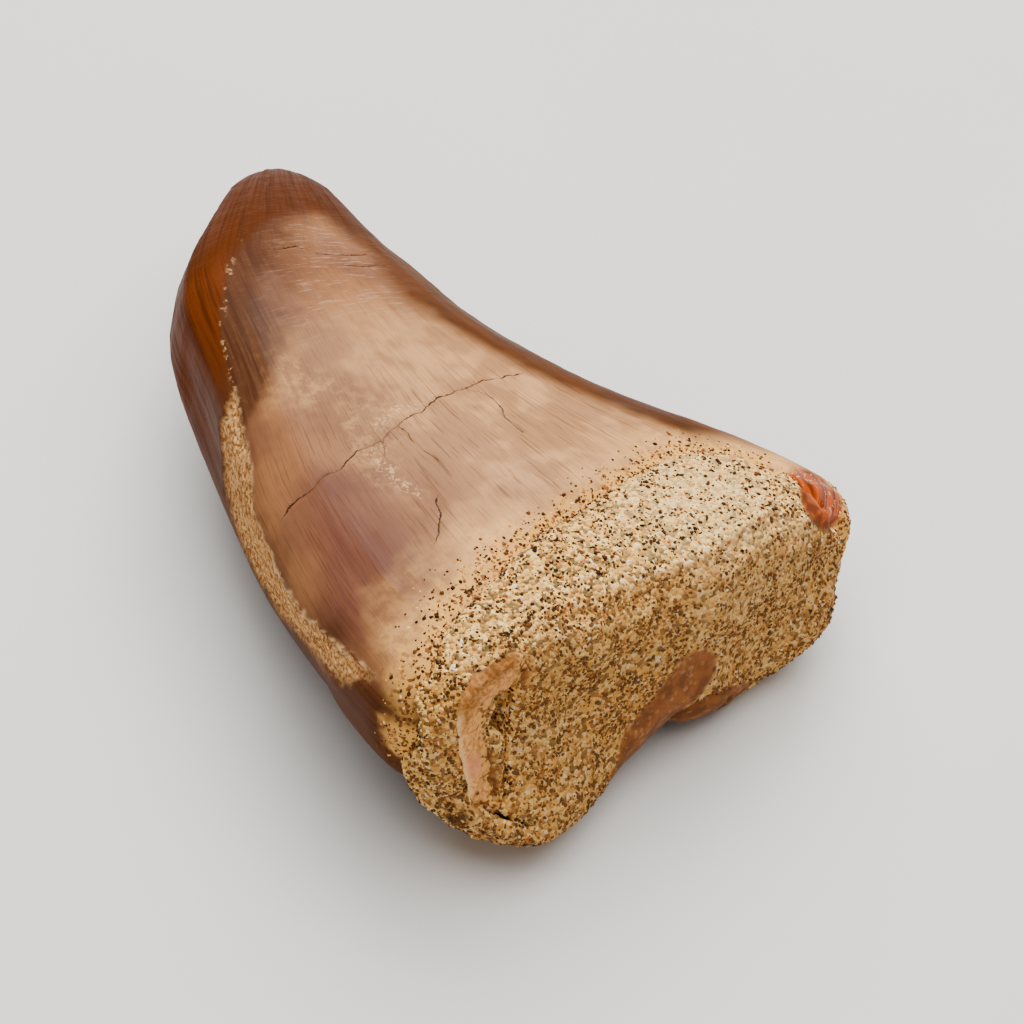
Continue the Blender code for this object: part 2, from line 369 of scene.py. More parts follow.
class Weave:
    """A node tree, of a material or a group, with short ways to add its parts."""

    def __init__(self, tree: bpy.types.NodeTree) -> None:
        """Start on a node tree."""
        self.tree = tree

    def node(self, kind: str, **settings: object) -> bpy.types.Node:
        """Add a node and set its properties."""
        made = self.tree.nodes.new(kind)
        for key, value in settings.items():
            setattr(made, key, value)
        return made

    def fill(self, socket: Socket, value: Value) -> None:
        """Lead another socket into this one, or set a plain value on it."""
        if isinstance(value, bpy.types.NodeSocket):
            self.tree.links.new(value, socket)
        else:
            socket.default_value = value

    def attribute(self, name: str) -> Socket:
        """Read a value that the mesh stores."""
        return self.node("ShaderNodeAttribute", attribute_name=name).outputs["Fac"]

    def direction(self, name: str) -> Socket:
        """Read a direction that the mesh stores."""
        return self.node("ShaderNodeAttribute", attribute_name=name).outputs["Vector"]

    def place(self) -> Socket:
        """Read the place on the object, in metres."""
        return self.node("ShaderNodeTexCoord").outputs["Object"]

    def stretch(self, vector: Socket, scale: Spot) -> Socket:
        """Scale a direction, axis by axis."""
        made = self.node("ShaderNodeMapping")
        self.fill(made.inputs["Vector"], vector)
        made.inputs["Scale"].default_value = scale
        return made.outputs["Vector"]

    def noise(
        self, vector: Socket, scale: Value, detail: float = 2.0, roughness: float = 0.5
    ) -> Socket:
        """Add a noise pattern and give its value."""
        made = self.node("ShaderNodeTexNoise")
        self.fill(made.inputs["Vector"], vector)
        self.fill(made.inputs["Scale"], scale)
        made.inputs["Detail"].default_value = detail
        made.inputs["Roughness"].default_value = roughness
        return made.outputs["Fac"]

    def band(
        self, value: Value, low: float, high: float, floor: float = 0.0, top: float = 1.0
    ) -> Socket:
        """Spread a value between two limits over a range, smoothly."""
        made = self.node("ShaderNodeMapRange", interpolation_type="SMOOTHSTEP")
        self.fill(made.inputs["Value"], value)
        made.inputs["From Min"].default_value = low
        made.inputs["From Max"].default_value = high
        made.inputs["To Min"].default_value = floor
        made.inputs["To Max"].default_value = top
        return made.outputs["Result"]

    def masked(
        self,
        name: str,
        value: Value,
        low: float,
        high: float,
        floor: float = 0.0,
        top: float = 1.0,
    ) -> Socket:
        """Spread a value over a range as band does, only where a stored mask lies."""
        return self.number("MULTIPLY", self.attribute(name), self.band(value, low, high, floor, top))

    def number(self, operation: str, first: Value, second: Value) -> Socket:
        """Work out one number from two."""
        made = self.node("ShaderNodeMath", operation=operation)
        self.fill(made.inputs[0], first)
        self.fill(made.inputs[1], second)
        return made.outputs[0]

    def blend(self, share: Value, under: Value, over: Value, mode: str = "MIX") -> Socket:
        """Lay one colour over another by a share."""
        made = self.node("ShaderNodeMix", data_type="RGBA", blend_type=mode)
        self.fill(made.inputs[0], share)
        self.fill(made.inputs[6], under)
        self.fill(made.inputs[7], over)
        return made.outputs[2]

    def slide(self, share: Value, under: Value, over: Value) -> Socket:
        """Slide from one number to another by a share."""
        made = self.node("ShaderNodeMix", data_type="FLOAT")
        self.fill(made.inputs[0], share)
        self.fill(made.inputs[2], under)
        self.fill(made.inputs[3], over)
        return made.outputs[0]

    def ramp(self, value: Socket, stops: tuple[tuple[float, Colour], ...]) -> Socket:
        """Turn a value into a colour by steps, each stop starting the next colour."""
        made = self.node("ShaderNodeValToRGB")
        self.fill(made.inputs["Fac"], value)
        ramp = made.color_ramp
        ramp.interpolation = "CONSTANT"
        while len(ramp.elements) < len(stops):
            ramp.elements.new(0.5)
        for element, (position, colour) in zip(ramp.elements, stops):
            element.position = position
            element.color = colour
        return made.outputs["Color"]

    def bump(
        self, height: Socket, depth: float, strength: float, before: Socket | None = None
    ) -> Socket:
        """Turn a height into a bumped normal.

        Args:
            height: The height, from 0 to 1.
            depth: The whole height in millimetres.
            strength: How much of it shows.
            before: An earlier bumped normal that this one adds to.

        Returns:
            The bumped normal.
        """
        made = self.node("ShaderNodeBump")
        self.fill(made.inputs["Height"], height)
        made.inputs["Distance"].default_value = depth * MM
        made.inputs["Strength"].default_value = strength
        if before is not None:
            self.fill(made.inputs["Normal"], before)
        return made.outputs["Normal"]

    def use(self, group: bpy.types.NodeTree, **values: Value) -> bpy.types.Node:
        """Place a shared group and fill its inputs by name."""
        made = self.node("ShaderNodeGroup", node_tree=group)
        for name, value in values.items():
            self.fill(made.inputs[name], value)
        return made


class MaterialWeave(Weave):
    """A material's node tree round one Principled BSDF."""

    def __init__(self, name: str) -> None:
        """Start a material."""
        self.material = bpy.data.materials.new(name)
        self.material.use_nodes = True
        super().__init__(self.material.node_tree)
        self.shader = self.tree.nodes["Principled BSDF"]

    def finish(self, colour: Socket, roughness: Value, normal: Socket) -> bpy.types.Material:
        """Lead colour, roughness and normal into the shader.

        Args:
            colour: The surface's colour.
            roughness: How dull it is.
            normal: Its bumped normal.

        Returns:
            The material.
        """
        self.fill(self.shader.inputs["Base Color"], colour)
        self.fill(self.shader.inputs["Roughness"], roughness)
        self.fill(self.shader.inputs["Normal"], normal)
        return self.material


class SharedEffects:
    """The node groups that more than one finish uses, each built once."""

    def __init__(self) -> None:
        """Build the groups."""
        self.speckle = self.build_speckle()
        self.drift = self.build_drift()

    @staticmethod
    def start(name: str, inputs: dict[str, str], outputs: tuple[str, ...]) -> tuple:
        """Start a group with named sockets.

        Args:
            name: The group's name.
            inputs: The kind of each input, by name.
            outputs: The names of its outputs, each a number.

        Returns:
            The group, a way to add its nodes, its input node and its output node.
        """
        group = bpy.data.node_groups.new(name, "ShaderNodeTree")
        for label, kind in inputs.items():
            group.interface.new_socket(name=label, in_out="INPUT", socket_type=kind)
        for label in outputs:
            group.interface.new_socket(name=label, in_out="OUTPUT", socket_type="NodeSocketFloat")
        weave = Weave(group)
        return group, weave, weave.node("NodeGroupInput"), weave.node("NodeGroupOutput")

    def build_speckle(self) -> bpy.types.NodeTree:
        """Build the grains of sand: a tone for each grain, and its rounded height."""
        inputs = {"Place": "NodeSocketVector", "Scale": "NodeSocketFloat"}
        group, weave, source, target = self.start("speckle", inputs, ("Tone", "Height"))
        pattern = weave.node("ShaderNodeTexVoronoi")
        pattern.inputs["Randomness"].default_value = 1.0
        weave.fill(pattern.inputs["Vector"], source.outputs["Place"])
        weave.fill(pattern.inputs["Scale"], source.outputs["Scale"])
        parts = weave.node("ShaderNodeSeparateColor")
        weave.fill(parts.inputs["Color"], pattern.outputs["Color"])
        weave.fill(target.inputs["Tone"], parts.outputs["Red"])
        weave.fill(target.inputs["Height"], weave.band(pattern.outputs["Distance"], 0.05, 0.8, 1.0, 0.0))
        return group

    def build_drift(self) -> bpy.types.NodeTree:
        """Build the slow change of tone from place to place."""
        inputs = {"Place": "NodeSocketVector", "Scale": "NodeSocketFloat"}
        group, weave, source, target = self.start("drift", inputs, ("Share",))
        cloud = weave.noise(source.outputs["Place"], source.outputs["Scale"], 3.0, 0.55)
        weave.fill(target.inputs["Share"], weave.band(cloud, 0.36, 0.64))
        return group


@dataclass(frozen=True)
class EnamelFinish:
    """Worn fossil enamel: amber brown, with a pinkish face, fine streaks and dark cracks; a sheen,
    glints, shade and a dark reflection are painted into its colour.
    """

    face: Colour = paint(141, 93, 58)
    face_cool: Colour = paint(118, 76, 51)
    # pale: painted sheen, lightening the face where the key light's sheen falls
    pale: Colour = paint(206, 152, 100)
    # painted glints on the fine wrinkles near the tip
    painted_wrinkle_glint: Colour = paint(206, 172, 144)
    etch: Colour = paint(204, 152, 92)
    # pale worn nicks; also the painted glints on the glassy chip
    nick_and_glint: Colour = paint(230, 186, 132)
    bed: Colour = paint(226, 166, 98)
    gold: Colour = paint(226, 164, 78)
    stain: Colour = paint(98, 58, 46)
    hair: Colour = paint(84, 46, 24)
    flank: Colour = paint(92, 40, 6)
    flank_deep: Colour = paint(60, 26, 8)
    flank_late: Colour = paint(68, 37, 20)
    late_warm: Colour = paint(92, 50, 24)
    shade: Colour = paint(66, 36, 20)
    tip: Colour = paint(78, 33, 0)
    tip_deep: Colour = paint(56, 24, 4)
    # edge and edge_warm: painted dark reflection along the concave edge, where it turns away from the
    # light
    edge: Colour = paint(72, 41, 16)
    edge_warm: Colour = paint(90, 48, 18)
    flake: Colour = paint(208, 152, 90)
    flake_dark: Colour = paint(128, 78, 38)
    # rim: pale rims and nicks; along the carina and the wall end's outer rim it is partly a painted
    # highlight
    rim: Colour = paint(234, 188, 128)
    crack: Colour = paint(44, 22, 10)
    chip: Colour = paint(182, 76, 20)
    chip_deep: Colour = paint(96, 36, 8)
    wall: Colour = paint(222, 158, 90)
    wall_dark: Colour = paint(180, 114, 56)
    # painted shade in the concave top arc of the wall end
    painted_wall_shade: Colour = paint(132, 78, 28)
    wall_gold: Colour = paint(206, 150, 80)
    blush: Colour = paint(208, 130, 92)
    roughness: float = 0.42
    roughness_flake: float = 0.7
    roughness_bed: float = 0.6
    roughness_chip: float = 0.2
    gloss: float = 0.08

    def material(self, shared: SharedEffects) -> bpy.types.Material:
        """Build the material.

        Args:
            shared: The groups that several finishes use.

        Returns:
            The material, which reads the values that the crown's mesh stores.
        """
        weave = MaterialWeave("worn_enamel")
        place = weave.place()
        way = weave.direction("way")
        streaks = weave.noise(weave.stretch(way, (1.9, 1.9, 0.16)), 1.0, 3.0, 0.62)
        hairs = weave.noise(weave.stretch(way, (7.0, 7.0, 0.3)), 1.0, 2.0, 0.6)
        silk = weave.noise(weave.stretch(way, (11.0, 11.0, 0.5)), 1.0, 2.0, 0.6)
        wrinkles = weave.noise(weave.stretch(way, (0.55, 0.55, 5.5)), 1.0, 2.0, 0.6)
        clouds = weave.use(shared.drift, Place=place, Scale=240.0).outputs["Share"]
        grain = weave.use(shared.speckle, Place=place, Scale=5200.0)
        spots = weave.noise(place, 1700.0, 3.0, 0.65)
        crumbs = weave.noise(place, 4200.0, 2.0, 0.6)

        colour = weave.blend(clouds, self.face_cool, self.face)
        # Painted sheen: the face is lightened towards +Y and the base, where the key light's sheen falls.
        colour = weave.blend(weave.masked("light", clouds, 0.3, 1.0, 0.45, 0.85), colour, self.pale)
        colour = weave.blend(weave.band(streaks, 0.5, 0.68, 0.0, 0.2), colour, self.face_cool)
        colour = weave.blend(weave.masked("smudge", spots, 0.3, 0.6, 0.7, 0.4), colour, self.stain)
        colour = weave.blend(weave.masked("stain", streaks, 0.3, 0.6, 0.95, 0.65), colour, self.stain)
        colour = weave.blend(weave.band(silk, 0.5, 0.64, 0.0, 0.22), colour, self.hair)
        colour = weave.blend(weave.masked("hair", hairs, 0.58, 0.66), colour, self.hair)
        colour = weave.blend(weave.masked("etch", spots, 0.42, 0.66, 0.0, 0.4), colour, self.etch)
        colour = weave.blend(weave.masked("nicks", crumbs, 0.5, 0.6, 0.0, 0.5), colour, self.nick_and_glint)
        # Painted glints: pale fine lines on the wrinkles near the tip.
        colour = weave.blend(weave.masked("wrinkle", wrinkles, 0.55, 0.7, 0.0, 0.25), colour, self.painted_wrinkle_glint)
        colour = weave.blend(weave.masked("bed", spots, 0.36, 0.6, 0.5, 0.9), colour, self.bed)
        colour = weave.blend(weave.masked("gold", crumbs, 0.3, 0.6, 0.75, 1.0), colour, self.gold)
        crust_dots = weave.masked("gold", grain.outputs["Tone"], 0.8, 0.84)
        colour = weave.blend(crust_dots, colour, self.flake_dark)
        colour = weave.blend(weave.masked("shade", streaks, 0.3, 0.7, 1.0, 0.8), colour, self.shade)
        flank = weave.blend(weave.band(streaks, 0.42, 0.66, 0.0, 0.75), self.flank, self.flank_deep)
        late = weave.blend(weave.band(streaks, 0.38, 0.66, 0.0, 0.8), self.flank_late, self.late_warm)
        flank = weave.blend(weave.attribute("late"), flank, late)
        flank = weave.blend(weave.masked("late", silk, 0.5, 0.64, 0.0, 0.5), flank, self.hair)
        colour = weave.blend(weave.attribute("flank"), colour, flank)
        # Pale line along the carina: partly pale nicks, partly a painted highlight on the ridge.
        colour = weave.blend(weave.masked("ridge", spots, 0.52, 0.6, 0.0, 0.5), colour, self.rim)
        # Painted dark reflection: the concave edge band, turned away from the light, is darkened.
        edge = weave.blend(weave.band(streaks, 0.36, 0.64), self.edge, self.edge_warm)
        edge = weave.blend(weave.band(clouds, 0.2, 0.8, 0.0, 0.5), edge, self.flank_late)
        colour = weave.blend(weave.attribute("edge"), colour, edge)
        tip = weave.blend(weave.band(streaks, 0.4, 0.68, 0.0, 0.8), self.tip, self.tip_deep)
        colour = weave.blend(weave.masked("tip", streaks, 0.3, 0.6, 1.0, 0.9), colour, tip)
        flake = weave.blend(weave.band(crumbs, 0.36, 0.64), self.flake_dark, self.flake)
        flake = weave.blend(weave.band(grain.outputs["Tone"], 0.82, 0.9, 0.0, 0.6), flake, self.rim)
        colour = weave.blend(weave.attribute("flake"), colour, flake)
        colour = weave.blend(weave.masked("rim", spots, 0.38, 0.56, 0.0, 0.7), colour, self.rim)
        wall = weave.blend(weave.band(crumbs, 0.34, 0.64), self.wall_dark, self.wall)
        # Painted shade: the concave top arc of the wall end is darkened.
        wall = weave.blend(weave.masked("wall_arc", crumbs, 0.4, 0.6, 1.0, 0.7), wall, self.painted_wall_shade)
        wall = weave.blend(weave.masked("blush", spots, 0.3, 0.5, 0.4, 0.8), wall, self.blush)
        # Painted highlight: the wall end's raised outer rim is lightened where it catches the light.
        wall = weave.blend(weave.masked("wall_rim", spots, 0.3, 0.5, 0.4, 1.0), wall, self.rim)
        wall = weave.blend(weave.masked("wall_sand", crumbs, 0.3, 0.6, 0.7, 1.0), wall, self.wall_gold)
        wall_dots = weave.masked("wall_sand", grain.outputs["Tone"], 0.62, 0.68)
        wall = weave.blend(wall_dots, wall, self.flake_dark)
        colour = weave.blend(weave.attribute("wall"), colour, wall)
        chip = weave.blend(weave.band(streaks, 0.4, 0.6), self.chip, self.chip_deep)
        # Painted glints: pale specks on the glassy chip.
        chip = weave.blend(weave.band(crumbs, 0.62, 0.68), chip, self.nick_and_glint)
        colour = weave.blend(weave.attribute("chip"), colour, chip)
        wander = weave.band(spots, 0.3, 0.7, -0.06, 0.06)
        off_crack = weave.number("ADD", weave.attribute("split"), wander)
        thin = weave.band(weave.number("ABSOLUTE", off_crack, 0.0), 0.02, 0.085, 1.0, 0.0)
        broken = weave.number("MULTIPLY", thin, weave.band(clouds, 0.0, 0.4, 0.55, 1.0))
        crack = weave.number("MULTIPLY", broken, weave.attribute("split_near"))
        colour = weave.blend(crack, colour, self.crack)

        rough = weave.slide(weave.attribute("bed"), self.roughness, self.roughness_bed)
        rough = weave.slide(weave.attribute("flake"), rough, self.roughness_flake)
        rough = weave.number("ADD", rough, weave.band(streaks, 0.35, 0.7, -0.03, 0.1))
        rough = weave.slide(weave.attribute("chip"), rough, self.roughness_chip)
        gloss = weave.number("MULTIPLY", weave.attribute("gloss"), self.gloss)
        gloss = weave.slide(weave.attribute("chip"), gloss, 0.15)
        weave.fill(weave.shader.inputs["Coat Weight"], gloss)
        weave.shader.inputs["IOR"].default_value = 1.08
        weave.shader.inputs["Coat Roughness"].default_value = 0.2

        normal = weave.bump(weave.slide(0.5, silk, hairs), 0.03, 0.6)
        tipward = weave.number("MULTIPLY", wrinkles, weave.attribute("wrinkle"))
        normal = weave.bump(tipward, 0.04, 0.8, normal)
        pitted = weave.number("MULTIPLY", crumbs, weave.attribute("flake"))
        normal = weave.bump(pitted, 0.12, 0.7, normal)
        return weave.finish(colour, rough, normal)


@dataclass(frozen=True)
class SandFinish:
    """Cemented sand: golden, with cream, brown and nearly black grains; light on its top, shade on its
    base face and in a pit are painted in.
    """

    gold: Colour = paint(224, 160, 72)
    cream: Colour = paint(250, 202, 120)
    brown: Colour = paint(138, 86, 36)
    dark: Colour = paint(36, 19, 8)
    white: Colour = paint(252, 226, 180)
    sunlit: Colour = paint(255, 220, 150)
    rust: Colour = paint(196, 104, 40)
    smooth_brown: Colour = paint(132, 74, 28)
    deep_brown: Colour = paint(98, 54, 20)
    glassy: Colour = paint(176, 78, 24)
    glassy_deep: Colour = paint(104, 44, 14)
    shade_brown: Colour = paint(122, 76, 34)
    roughness: float = 0.85
    roughness_bare: float = 0.6
    ior: float = 1.2

    def material(self, shared: SharedEffects) -> bpy.types.Material:
        """Build the material of the cemented mass.

        Args:
            shared: The groups that several finishes use.

        Returns:
            The material.
        """
        weave = MaterialWeave("cemented_sand")
        place = weave.place()
        grain = weave.use(shared.speckle, Place=place, Scale=4200.0)
        drift = weave.use(shared.drift, Place=place, Scale=330.0).outputs["Share"]
        stops = (
            (0.0, self.dark),
            (0.2, self.brown),
            (0.36, self.gold),
            (0.66, self.cream),
            (0.93, self.rust),
            (0.96, self.white),
        )
        colour = weave.ramp(grain.outputs["Tone"], stops)
        body = weave.blend(drift, self.gold, self.cream)
        # Painted light: faces that look up are lightened to cream.
        body = weave.blend(weave.attribute("light"), body, self.cream)
        colour = weave.blend(0.78, body, colour)
        # Painted light: the brightest lit part of the crust's top is lightened.
        colour = weave.blend(weave.attribute("bright"), colour, self.sunlit)
        # Painted shade: the base face, which faces +X, is darkened to shade brown.
        colour = weave.blend(weave.attribute("base"), colour, self.shade_brown)
        smooth = weave.noise(place, 900.0, 3.0, 0.6)
        bare = weave.blend(weave.band(smooth, 0.36, 0.62), self.smooth_brown, self.deep_brown)
        bare_share = weave.masked("bare", grain.outputs["Tone"], 0.8, 0.9, 1.0, 0.85)
        colour = weave.blend(bare_share, colour, bare)
        glassy = weave.blend(weave.band(smooth, 0.4, 0.6), self.glassy, self.glassy_deep)
        colour = weave.blend(weave.attribute("chip"), colour, glassy)
        weave.shader.inputs["IOR"].default_value = self.ior
        # Painted shade: the pit's hollow on the base is darkened.
        colour = weave.blend(weave.attribute("pit_shade"), colour, self.dark)
        rough = weave.slide(weave.attribute("bare"), self.roughness, self.roughness_bare)
        height = weave.slide(weave.attribute("bare"), grain.outputs["Height"], 0.5)
        normal = weave.bump(height, 0.12, 0.8)
        fine = weave.noise(place, 7000.0, 2.0, 0.6)
        return weave.finish(colour, rough, weave.bump(fine, 0.03, 0.5, normal))

    def grain_material(self, kind: GrainKind, shared: SharedEffects) -> bpy.types.Material:
        """Build the material of separate grains, which reads each grain's own tone.

        Args:
            kind: Which sort of grains.
            shared: The groups that several finishes use.

        Returns:
            The material.
        """
        weave = MaterialWeave(kind.value)
        pale = ((0.0, self.gold), (0.5, self.cream), (0.86, self.white), (0.9, self.rust))
        dark = ((0.0, self.dark), (0.72, self.deep_brown), (0.88, self.brown))
        stops = pale if kind is GrainKind.PALE else dark
        colour = weave.ramp(weave.attribute("tone"), stops)
        weave.shader.inputs["IOR"].default_value = self.ior
        drift = weave.use(shared.drift, Place=weave.place(), Scale=1500.0).outputs["Share"]
        share = weave.number("MULTIPLY", drift, 0.2)
        colour = weave.blend(share, colour, self.brown)
        # Painted shade: grains on the base face are darkened.
        colour = weave.blend(weave.attribute("base"), colour, self.shade_brown)
        rough = weave.band(drift, 0.0, 1.0, 0.4, 0.75)
        normal = weave.bump(weave.noise(weave.place(), 9000.0), 0.02, 0.6)
        return weave.finish(colour, rough, normal)


@dataclass(frozen=True)
class Landmarks:
    """Lines and spots on the tooth's surface that several pieces keep to."""

    carina: Line = (
        (-20.1, -0.4, 12.0),
        (-15.9, -3.9, 13.8),
        (-13.1, -6.4, 14.9),
        (-10.6, -8.4, 15.4),
        (-7.2, -10.8, 15.0),
        (-2.8, -12.5, 14.6),
        (3.2, -15.0, 13.6),
        (8.9, -16.4, 11.9),
        (14.0, -16.9, 12.0),
        (19.6, -16.3, 11.6),
    )
    convex_line: Line = (
        (-20.1, -0.4, 12.0),
        (-15.9, -3.9, 13.8),
        (-13.1, -6.4, 14.9),
        (-10.6, -8.4, 15.4),
        (-7.2, -10.8, 15.0),
        (-2.8, -12.5, 14.6),
        (1.0, -13.8, 14.0),
        (2.6, -14.4, 13.7),
        (4.2, -15.2, 13.0),
        (6.2, -15.7, 12.6),
        (9.4, -16.1, 11.9),
        (12.0, -16.5, 12.2),
        (14.7, -16.4, 12.8),
        (17.9, -16.1, 12.9),
        (20.5, -15.6, 12.6),
    )
    concave_line: Line = (
        (-17.1, 2.0, 10.7),
        (-15.3, 2.1, 10.8),
        (-11.8, 2.5, 10.9),
        (-7.0, 2.1, 11.9),
        (-4.4, 2.4, 12.0),
        (-2.1, 3.5, 11.8),
        (1.2, 4.5, 11.8),
        (3.8, 6.0, 11.5),
        (6.3, 7.6, 11.3),
        (9.1, 8.9, 11.5),
        (11.0, 10.5, 11.4),
    )
    shade_width: tuple[tuple[float, float], ...] = (
        (-18.0, 3.2),
        (-10.4, 4.6),
        (-7.3, 5.6),
        (-4.4, 5.2),
        (-2.3, 3.4),
        (-0.2, 0.4),
    )
    chipped_lines: tuple[Line, ...] = (
        ((5.5, -8.6, 15.6), (6.7, -8.5, 15.6), (7.6, -8.5, 15.6), (8.8, -8.4, 15.6), (9.6, -8.2, 15.7)),
        ((3.4, -4.0, 15.0), (3.0, -5.6, 15.3), (3.9, -7.2, 15.5)),
    )
    flake_foot: tuple[tuple[float, float], ...] = (
        (-3.4, 13.0),
        (-1.8, 8.0),
        (1.0, 6.4),
        (8.0, 6.8),
        (12.0, 8.6),
        (15.0, 10.2),
        (18.5, 12.0),
    )
    cracks: tuple[Line, ...] = (
        (
            (2.1, 3.6, 12.4),
            (2.3, 1.6, 13.3),
            (2.6, -0.5, 14.0),
            (3.0, -2.6, 14.6),
            (3.8, -4.4, 15.1),
            (4.3, -6.1, 15.5),
            (4.9, -7.4, 15.6),
            (5.1, -9.2, 15.6),
            (5.5, -10.7, 15.6),
            (5.7, -12.2, 15.4),
            (5.9, -13.6, 14.9),
            (6.0, -14.8, 14.2),
        ),
        ((2.6, -0.4, 14.0), (4.2, 0.4, 13.9), (6.2, 0.1, 14.2), (7.8, 0.2, 14.4)),
        ((4.9, -7.4, 15.6), (6.2, -8.1, 15.6)),
        ((4.3, -6.1, 15.5), (6.4, -6.0, 15.5), (8.2, -5.7, 15.4)),
        ((-12.4, -4.6, 14.6), (-12.4, -3.4, 14.1), (-12.1, -2.2, 13.6)),
        ((-11.6, -1.8, 13.6), (-11.4, 0.0, 12.6), (-11.8, 1.5, 11.6)),
        ((-10.4, -0.9, 13.2), (-10.1, 0.4, 12.5), (-10.3, 1.8, 11.6)),
        ((10.5, -7.3, 15.6), (12.0, -8.2, 15.6), (13.1, -9.2, 15.5)),
    )
    crust_edge: Line = (
        (23.2, -14.4, 6.2),
        (22.0, -15.6, 8.3),
        (21.0, -15.9, 10.3),
        (20.7, -15.6, 11.6),
        (19.4, -13.7, 13.9),
        (17.4, -11.3, 15.1),
        (15.4, -4.3, 15.1),
        (13.7, 2.6, 14.0),
        (11.9, 8.5, 12.2),
        (13.4, 11.4, 11.4),
        (17.5, 12.0, 11.6),
        (19.0, 13.8, 10.2),
        (19.6, 15.4, 8.4),
        (20.0, 16.2, 6.2),
    )
    stain_line: Line = ((7.5, -12.2, 15.4), (11.5, -13.2, 15.1), (14.5, -14.0, 14.5))
    etch_line: Line = ((-5.8, -10.2, 15.3), (-0.6, -9.2, 15.6), (1.4, -6.3, 15.4), (5.2, -8.9, 15.6))
    wall_line: Line = (
        (22.3, -9.6, 13.7),
        (22.4, -11.4, 13.5),
        (22.6, -12.3, 12.9),
        (22.9, -12.7, 11.9),
        (23.2, -12.8, 10.4),
        (23.5, -12.6, 9.0),
        (23.7, -12.5, 7.8),
        (23.9, -12.5, 6.9),
    )
    wall_reach: float = 0.95
    # wall_arc: where the wall end's painted shade lies
    wall_arc: Line = ((0.0, -9.2, 14.4), (0.0, -11.6, 14.2), (0.0, -12.9, 13.3), (0.0, -13.4, 12.4))
    rim_offset: Spot = (0.0, 0.95, -0.3)
    # bright_spot: middle of the painted light on the crust's top
    bright_spot: Spot = (16.6, 6.4, 13.4)
    smudge_spot: Spot = (-6.4, -6.0, 15.2)
    blush_spot: Spot = (23.3, -12.9, 9.0)
    # pit_spot: where the pit's painted shade lies
    pit_spot: Spot = (23.6, -14.2, 5.5)
    chip_spot: Spot = (16.8, 14.5, 9.8)
    chip_foot: Spot = (18.3, 13.3, 10.8)
    notch_line: Line = (
        (22.6, 2.0, 7.2),
        (22.9, -0.2, 5.4),
        (23.1, -1.6, 4.4),
        (23.2, -2.6, 2.6),
    )
    notch_rim: Line = ((21.3, 4.8, 1.8), (21.4, 2.6, 2.2), (22.6, 0.0, 2.6), (23.2, -2.6, 2.0))

    def off_wall(self, points: np.ndarray) -> np.ndarray:
        """Distance from the middle of the bared wall end, seen from straight behind it."""
        from_behind = np.array([0.0, 1.0, 1.0])
        line = tuple((0.0, y, z) for _, y, z in self.wall_line)
        return off_line(points * from_behind, line)

    def off_wall_rim(self, points: np.ndarray) -> np.ndarray:
        """Distance from the outer rim of the bared wall end, seen from straight behind it."""
        return self.off_wall(points + np.array(self.rim_offset))

    def right_corner(self, points: np.ndarray) -> np.ndarray:
        """Share of each point that lies on the sandy right corner of the crown's rim."""
        return ease((points[:, 1] + 0.5 * points[:, 0] - 23.1) / 0.8)

    def clear_of_sand(self, points: np.ndarray) -> np.ndarray:
        """Share of sand that may lie at each point: none on the bare places."""
        share = ease((off_line(points, self.wall_line) - 0.75) / 0.4)
        share *= ease((off_spot(points, self.chip_spot) - 2.0) / 0.4)
        share *= ease((off_spot(points, self.chip_foot) - 1.3) / 0.4)
        share *= ease((off_line(points, self.notch_line) - 1.4) / 0.5)
        return share * ease((off_line(points, self.notch_rim) - 1.8) / 0.6)


